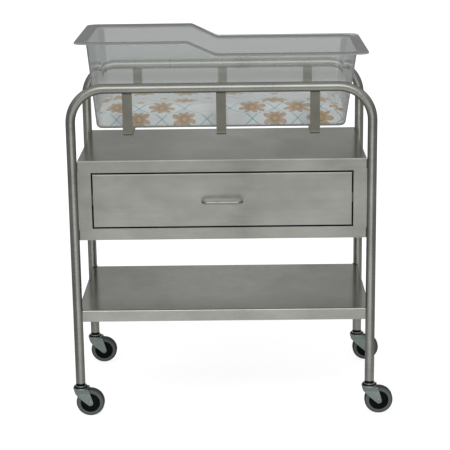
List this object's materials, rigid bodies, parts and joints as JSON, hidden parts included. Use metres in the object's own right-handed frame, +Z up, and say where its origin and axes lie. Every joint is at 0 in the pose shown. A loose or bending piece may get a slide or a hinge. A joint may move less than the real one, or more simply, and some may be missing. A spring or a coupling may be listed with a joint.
{
  "type": "hospital bassinet",
  "caption": "Hospital bassinet: tube stand on swivel casters with drawer cabinet, lower shelf and a clear lift-out basket with a padded mattress.",
  "frame": {"origin": "on the floor, below the middle of the overall box in X and Y", "axes": "+Z up; X along the length, with the basket's high head end towards -X; the drawer opens towards -Y"},
  "size_m": [0.87, 0.482, 1.016],
  "materials": {
    "brushed_stainless": "brushed stainless steel, fine grain along the length",
    "polished_rod": "polished stainless rod",
    "zinc_steel": "bright zinc plate with a blue-grey cast",
    "clear_plastic": "clear moulded plastic with a faint grey-blue tint",
    "pad_fabric": null,
    "black_plastic": "black moulded plastic",
    "grey_tread": "grey thermoplastic rubber",
    "white_nylon": "natural nylon"
  },
  "bodies": {
    "stand": {"front_frame": "brushed_stainless", "rear_frame": "brushed_stainless", "basket_strap_head": "brushed_stainless", "basket_strap_middle": "brushed_stainless", "basket_strap_foot": "brushed_stainless", "cabinet_wrapper": "brushed_stainless", "cabinet_floor": "brushed_stainless", "cabinet_back": "brushed_stainless", "lower_shelf": "brushed_stainless", "shelf_stiffener": "brushed_stainless", "runner_bracket_left": "brushed_stainless", "runner_channel_left": "zinc_steel", "runner_liner_left": "white_nylon", "runner_bracket_right": "brushed_stainless", "runner_channel_right": "zinc_steel", "runner_liner_right": "white_nylon", "caster_front_left_socket": "black_plastic", "caster_front_left_stem": "zinc_steel", "caster_front_left_seal": "black_plastic", "caster_front_right_socket": "black_plastic", "caster_front_right_stem": "zinc_steel", "caster_front_right_seal": "black_plastic", "caster_rear_left_socket": "black_plastic", "caster_rear_left_stem": "zinc_steel", "caster_rear_left_seal": "black_plastic", "caster_rear_right_socket": "black_plastic", "caster_rear_right_stem": "zinc_steel", "caster_rear_right_seal": "black_plastic"},
    "drawer": {"drawer_box": "brushed_stainless", "drawer_end_front": "brushed_stainless", "drawer_end_rear": "brushed_stainless", "drawer_front": "brushed_stainless", "drawer_handle": "polished_rod", "handle_screws": "zinc_steel", "runner_bar_left": "brushed_stainless", "runner_bar_right": "brushed_stainless"},
    "basket": {"basket": "clear_plastic"},
    "mattress": {"mattress": "pad_fabric"},
    "swivel_front_left": {"caster_front_left_fork": "zinc_steel", "caster_front_left_axle": "zinc_steel"},
    "wheel_front_left": {"caster_front_left_hub": "black_plastic", "caster_front_left_tread": "grey_tread"},
    "swivel_front_right": {"caster_front_right_fork": "zinc_steel", "caster_front_right_axle": "zinc_steel"},
    "wheel_front_right": {"caster_front_right_hub": "black_plastic", "caster_front_right_tread": "grey_tread"},
    "swivel_rear_left": {"caster_rear_left_fork": "zinc_steel", "caster_rear_left_axle": "zinc_steel"},
    "wheel_rear_left": {"caster_rear_left_hub": "black_plastic", "caster_rear_left_tread": "grey_tread"},
    "swivel_rear_right": {"caster_rear_right_fork": "zinc_steel", "caster_rear_right_axle": "zinc_steel"},
    "wheel_rear_right": {"caster_rear_right_hub": "black_plastic", "caster_rear_right_tread": "grey_tread"}
  },
  "joints": [
    {"name": "drawer_slide", "type": "slide", "parent": "stand", "child": "drawer", "axis": [0, -1, 0], "range_m": [0, 0.3]},
    {"name": "basket_lift", "type": "slide", "parent": "stand", "child": "basket", "axis": [0, 0, 1], "range_m": [0, 0.18]},
    {"name": "mattress_lift", "type": "slide", "parent": "basket", "child": "mattress", "axis": [0, 0, 1], "range_m": [0, 0.26]},
    {"name": "swivel_front_left", "type": "hinge", "parent": "stand", "child": "swivel_front_left", "pos_m": [-0.414, -0.205, 0.08], "axis": [0, 0, 1], "continuous": true},
    {"name": "roll_front_left", "type": "hinge", "parent": "swivel_front_left", "child": "wheel_front_left", "pos_m": [-0.3886, -0.205, 0.0381], "axis": [0, 1, 0], "continuous": true},
    {"name": "swivel_front_right", "type": "hinge", "parent": "stand", "child": "swivel_front_right", "pos_m": [0.3715, -0.205, 0.08], "axis": [0, 0, 1], "continuous": true},
    {"name": "roll_front_right", "type": "hinge", "parent": "swivel_front_right", "child": "wheel_front_right", "pos_m": [0.3969, -0.205, 0.0381], "axis": [0, 1, 0], "continuous": true},
    {"name": "swivel_rear_left", "type": "hinge", "parent": "stand", "child": "swivel_rear_left", "pos_m": [-0.414, 0.22, 0.08], "axis": [0, 0, 1], "continuous": true},
    {"name": "roll_rear_left", "type": "hinge", "parent": "swivel_rear_left", "child": "wheel_rear_left", "pos_m": [-0.3886, 0.22, 0.0381], "axis": [0, 1, 0], "continuous": true},
    {"name": "swivel_rear_right", "type": "hinge", "parent": "stand", "child": "swivel_rear_right", "pos_m": [0.3715, 0.22, 0.08], "axis": [0, 0, 1], "continuous": true},
    {"name": "roll_rear_right", "type": "hinge", "parent": "swivel_rear_right", "child": "wheel_rear_right", "pos_m": [0.3969, 0.22, 0.0381], "axis": [0, 1, 0], "continuous": true}
  ]
}
